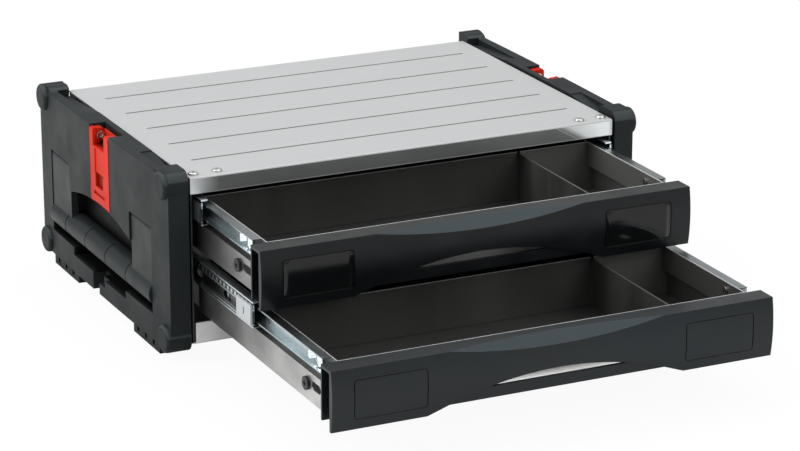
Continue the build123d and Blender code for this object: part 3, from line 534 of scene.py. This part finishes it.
# Finishes by a node's name, or by its name without the drawer and the side
finishes = {
    "panel": panel_plastic,
    "handle": handle_plastic,
    "handle_pins": screw_steel,
    "latch": latch_plastic,
    "latch_screws": screw_steel,
    "side_sheet": painted_shade_lining_steel,
    "bottom_sheet": cabinet_steel,
    "back_sheet": painted_shade_lining_steel,
    "top_sheet": top_steel,
    "top_screws": screw_steel,
    "panel_screws": screw_steel,
    "upper_front": front_plastic("upper_front", 0.003, 1.1 * MM),
    "lower_front": front_plastic("lower_front", 0.007, 0.3 * MM),
    "front_screws": screw_steel,
    "slide_screws": screw_steel,
    "side_screws": black_screw,
    # The upper tray's lower levels are painted shade; the lower tray is the lit copy
    "upper_tray": tray_metal("upper_tray_steel", "upper", 0.36, 0.06, 0.14),
    "lower_tray": tray_metal("lower_tray_steel", "lower", 0.68, 0.22, 0.08),
    "cross_divider": cross_steel,
    "divider": divider_steel,
    "cabinet_rail": cabinet_rail_steel,
    "middle_rail": middle_rail_steel,
    "drawer_rail": drawer_rail_steel,
    "upper_left_end_stop": painted_shade_stop,
    "upper_right_end_stop": painted_shade_stop,
    "end_stop": pale_stop,
    "inner_cage": cage_steel,
    "outer_cage": cage_steel,
    "inner_balls": ball_steel,
}


def finish_of(name):
    """The finish of a node."""
    if name in finishes:
        return finishes[name]
    plain = name
    for word in ("upper_", "lower_", "left_", "right_"):
        plain = plain.removeprefix(word)
    return finishes[plain]


for name, body in nodes.items():
    body.data.materials.clear()
    body.data.materials.append(finish_of(name))

# ---------------------------------------------------------------- added pieces


def link_mesh(name, mesh, finish, body, thickness, offset):
    """Put a bmesh into the scene as a sheet of this thickness that moves with a body."""
    data = bpy.data.meshes.new(name)
    bmesh.ops.recalc_face_normals(mesh, faces=mesh.faces)
    mesh.to_mesh(data)
    mesh.free()
    for face in data.polygons:
        face.use_smooth = True
    piece = bpy.data.objects.new(name, data)
    bpy.context.scene.collection.objects.link(piece)
    data.materials.append(finish)
    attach(piece, body)
    thick = piece.modifiers.new("thickness", "SOLIDIFY")
    thick.thickness = thickness
    thick.offset = offset


def skin_rows(mesh, rows):
    """Join rows of points, each to the next, with four-sided faces."""
    for near, far in zip(rows, rows[1:]):
        for k in range(len(near) - 1):
            mesh.faces.new((near[k], near[k + 1], far[k + 1], far[k]))


def label_plate(name, front, side, body):
    """A blank glossy insert that follows the bulged face of a drawer front."""
    low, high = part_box(front)
    middle_z, half_height = (low.z + high.z) / 2, (high.z - low.z) / 2
    centre_x, centre_z = side * label_x, high.z - label_drop
    row_count, column_count = 24, 12
    mesh = bmesh.new()
    rows = []
    for row in range(row_count + 1):
        rise = insert_half_height * math.sin(math.pi * (row / row_count - 0.5))
        cut = max(0.0, abs(rise) - (insert_half_height - label_corner))
        reach = insert_half_width - label_corner + math.sqrt(max(0.0, label_corner**2 - cut**2))
        z = centre_z + rise
        bend = 1 - ((z - middle_z) / half_height) ** 2
        y = low.y + front_bulge - front_bulge * bend - insert_proud
        shares = [2 * k / column_count - 1 for k in range(column_count + 1)]
        rows.append([mesh.verts.new((centre_x + reach * share, y, z)) for share in shares])
    skin_rows(mesh, rows)
    link_mesh(name, mesh, label_gloss, body, insert_thickness, -1.0)


def rail_catch(name, rail, side, body):
    """A stamped spring catch that lies in the channel at the front end of a drawer rail."""
    low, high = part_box(rail)
    wall_x = min(abs(low.x), abs(high.x))
    middle_z = (low.z + high.z) / 2
    # Back from the rail's front end, out from the tray's wall, and half the width there, in millimetres
    profile = (
        (4, 1.2, 5.0),
        (10, 1.2, 5.0),
        (12, 4.6, 5.0),
        (17, 5.4, 5.0),
        (19, 1.6, 5.0),
        (26, 1.6, 3.2),
        (27.5, 5.6, 3.2),
        (31, 6.0, 3.2),
        (33, 4.2, 3.2),
    )
    mesh = bmesh.new()
    rows = []
    for along, out, half in profile:
        x, y = side * (wall_x + out * MM), low.y + along * MM
        heights = [middle_z + share * half * MM for share in (-1, -0.5, 0.5, 1)]
        rows.append([mesh.verts.new((x, y, z)) for z in heights])
    skin_rows(mesh, rows)
    link_mesh(name, mesh, catch_steel, body, 0.7 * MM, -1.0)


for side_name, side in (("left", -1), ("right", 1)):
    label_plate("upper_" + side_name + "_label_plate", "upper_front", side, "upper_drawer")
    for drawer in ("upper", "lower"):
        slide = drawer + "_" + side_name
        rail_catch(slide + "_rail_catch", slide + "_drawer_rail", side, drawer + "_drawer")

# ---------------------------------------------------------------- stage, light and camera


def make_floor():
    """A white floor that the camera sees as the backdrop's own white, with a faint shadow."""
    floor_size, floor_drop, backdrop_share = 30, 0.0002, 0.94
    bpy.ops.mesh.primitive_plane_add(size=floor_size, location=(0, 0, -floor_drop))
    floor = bpy.context.object
    floor.name = "floor"
    made, tree, shader = build("floor_white")
    dress(tree, shader, grey(0.85), 0.9, 0.0)
    glow = node(tree, "ShaderNodeEmission", Color=grey(1.0), Strength=1.0)
    seen = node(tree, "ShaderNodeLightPath").outputs["Is Camera Ray"]
    share = product(tree, seen, backdrop_share)
    mixed = node(tree, "ShaderNodeMixShader", i0=share, i1=shader.outputs[0], i2=glow.outputs[0])
    tree.links.new(mixed.outputs[0], tree.nodes["Material Output"].inputs["Surface"])
    floor.data.materials.append(made)


def make_world():
    """White behind the object, and a soft sky that is brighter above than around."""
    around, above, full_height, backdrop = 0.45, 0.85, 0.8, 1.0
    world = bpy.data.worlds.new("studio")
    bpy.context.scene.world = world
    world.use_nodes = True
    tree = world.node_tree
    direction = node(tree, "ShaderNodeTexCoord").outputs["Generated"]
    up = node(tree, "ShaderNodeSeparateXYZ", Vector=direction).outputs[2]
    sky = ramp(tree, up, 0.0, full_height, around, above)
    seen = node(tree, "ShaderNodeLightPath").outputs["Is Camera Ray"]
    back = tree.nodes["Background"]
    back.inputs["Color"].default_value = grey(1.0)
    tree.links.new(blend_number(tree, seen, sky, backdrop), back.inputs["Strength"])


def soft_light(name, position, size, power):
    """A large rectangular lamp that looks at the middle of the case."""
    target = (0, 0, 0.08)
    lamp = bpy.data.lights.new(name, "AREA")
    lamp.shape = "RECTANGLE"
    lamp.size, lamp.size_y = size
    lamp.energy = power
    holder = bpy.data.objects.new(name, lamp)
    bpy.context.scene.collection.objects.link(holder)
    holder.location = position
    holder.rotation_euler = (Vector(target) - Vector(position)).to_track_quat("-Z", "Y").to_euler()


def make_camera():
    """The photograph's viewpoint, worked out from the case's parallel edges."""
    pitch, yaw = 18.397, 25.525
    lens = bpy.data.cameras.new("photo_camera")
    lens.lens = 143.0
    lens.sensor_width = 36.0
    lens.clip_start = 0.05
    holder = bpy.data.objects.new("photo_camera", lens)
    bpy.context.scene.collection.objects.link(holder)
    holder.location = (-1.1026, -2.3132, 0.9373)
    holder.rotation_euler = (math.radians(90 - pitch), 0, math.radians(-yaw))
    bpy.context.scene.camera = holder


make_floor()
make_world()
soft_light("left_softbox", (-1.6, 0.3, 1.3), (1.4, 1.4), 22)
soft_light("top_softbox", (0.3, 0.6, 2.0), (1.8, 1.4), 16)
soft_light("front_softbox", (0.9, -1.8, 1.2), (1.0, 1.0), 10)
make_camera()
bpy.context.scene.view_settings.view_transform = "Standard"
